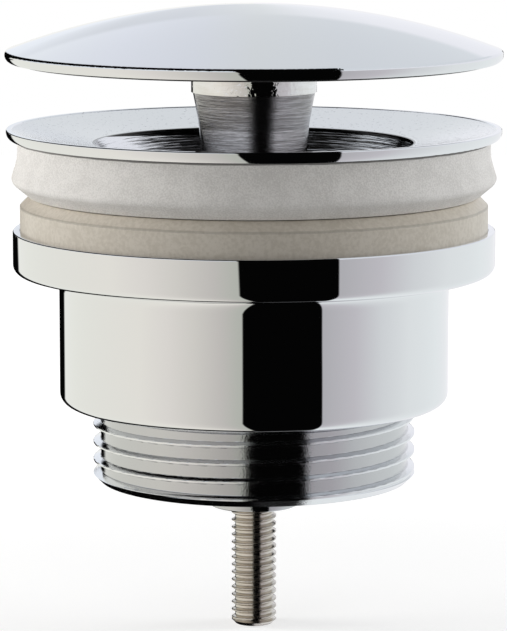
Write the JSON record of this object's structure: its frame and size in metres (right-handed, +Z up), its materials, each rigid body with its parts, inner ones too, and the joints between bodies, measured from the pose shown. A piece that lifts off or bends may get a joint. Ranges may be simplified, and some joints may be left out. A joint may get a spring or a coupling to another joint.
{
  "type": "pop up basin waste",
  "caption": "Domed press-to-close basin waste: capped latch neck in a dished flange, foam gaskets, cup-shaped lower body with threaded tail and a long clamp screw.",
  "frame": {"origin": "on the waste's axis, at the underside of the upper gasket, where it bears on the basin", "axes": "+Z up along the waste's axis, towards the cap; -Y is the side that the picture shows"},
  "size_m": [0.064, 0.064, 0.0812],
  "materials": {
    "chrome_plate": "polished chrome plate on brass",
    "turned_plate": "plated over coarse turning marks",
    "bright_steel": "bright nickel-plated steel",
    "spring_steel": "drawn stainless wire and strip",
    "raw_brass": "machined, uncoated",
    "acetal": "natural white, moulded",
    "black_rubber": "smooth black nitrile",
    "pale_foam": "off-white closed-cell foam with a fine grain",
    "pale_rubber": "smooth pale grey-beige rubber"
  },
  "bodies": {
    "basin_flange": {"upper_flange": "chrome_plate", "upper_gasket": "pale_foam", "cam_post": "raw_brass", "post_seal": "black_rubber", "guide_bush": "acetal", "spring_washer": "spring_steel", "screw_washer": "bright_steel"},
    "cap_assembly": {"cap": "chrome_plate", "cap_seal": "black_rubber", "lock_collar": "chrome_plate", "cap_stud": "raw_brass", "neck": "turned_plate", "return_spring": "spring_steel", "latch_washer": "raw_brass", "latch_circlip": "spring_steel"},
    "latch": {"latch_ring": "raw_brass", "latch_pins": "spring_steel"},
    "lower_half": {"lower_body": "chrome_plate", "lower_gasket": "pale_rubber"},
    "screw": {"clamp_screw": "bright_steel"}
  },
  "joints": [
    {"name": "cap_slide", "type": "slide", "parent": "basin_flange", "child": "cap_assembly", "axis": [0, 0, 1], "range_m": [-0.0084, 0], "stiffness_N_per_m": 950, "springref_m": 0.0063, "deforming": ["return_spring"]},
    {"name": "latch_turn", "type": "hinge", "parent": "cap_assembly", "child": "latch", "pos_m": [0, 0, -0.007], "axis": [0, 0, 1], "range_deg": [0, 50]},
    {"name": "screw_turn", "type": "hinge", "parent": "basin_flange", "child": "screw", "pos_m": [0, 0, -0.0284], "axis": [0, 0, 1], "range_deg": [0, 5400]},
    {"name": "clamp_travel", "type": "slide", "parent": "basin_flange", "child": "lower_half", "axis": [0, 0, 1], "range_m": [-0.015, 0]}
  ],
  "couplings": [
    {"joint": "latch_turn", "follows": "cap_slide", "rad_per_m": -103.88},
    {"joint": "screw_turn", "follows": "clamp_travel", "rad_per_m": -6283.2}
  ]
}
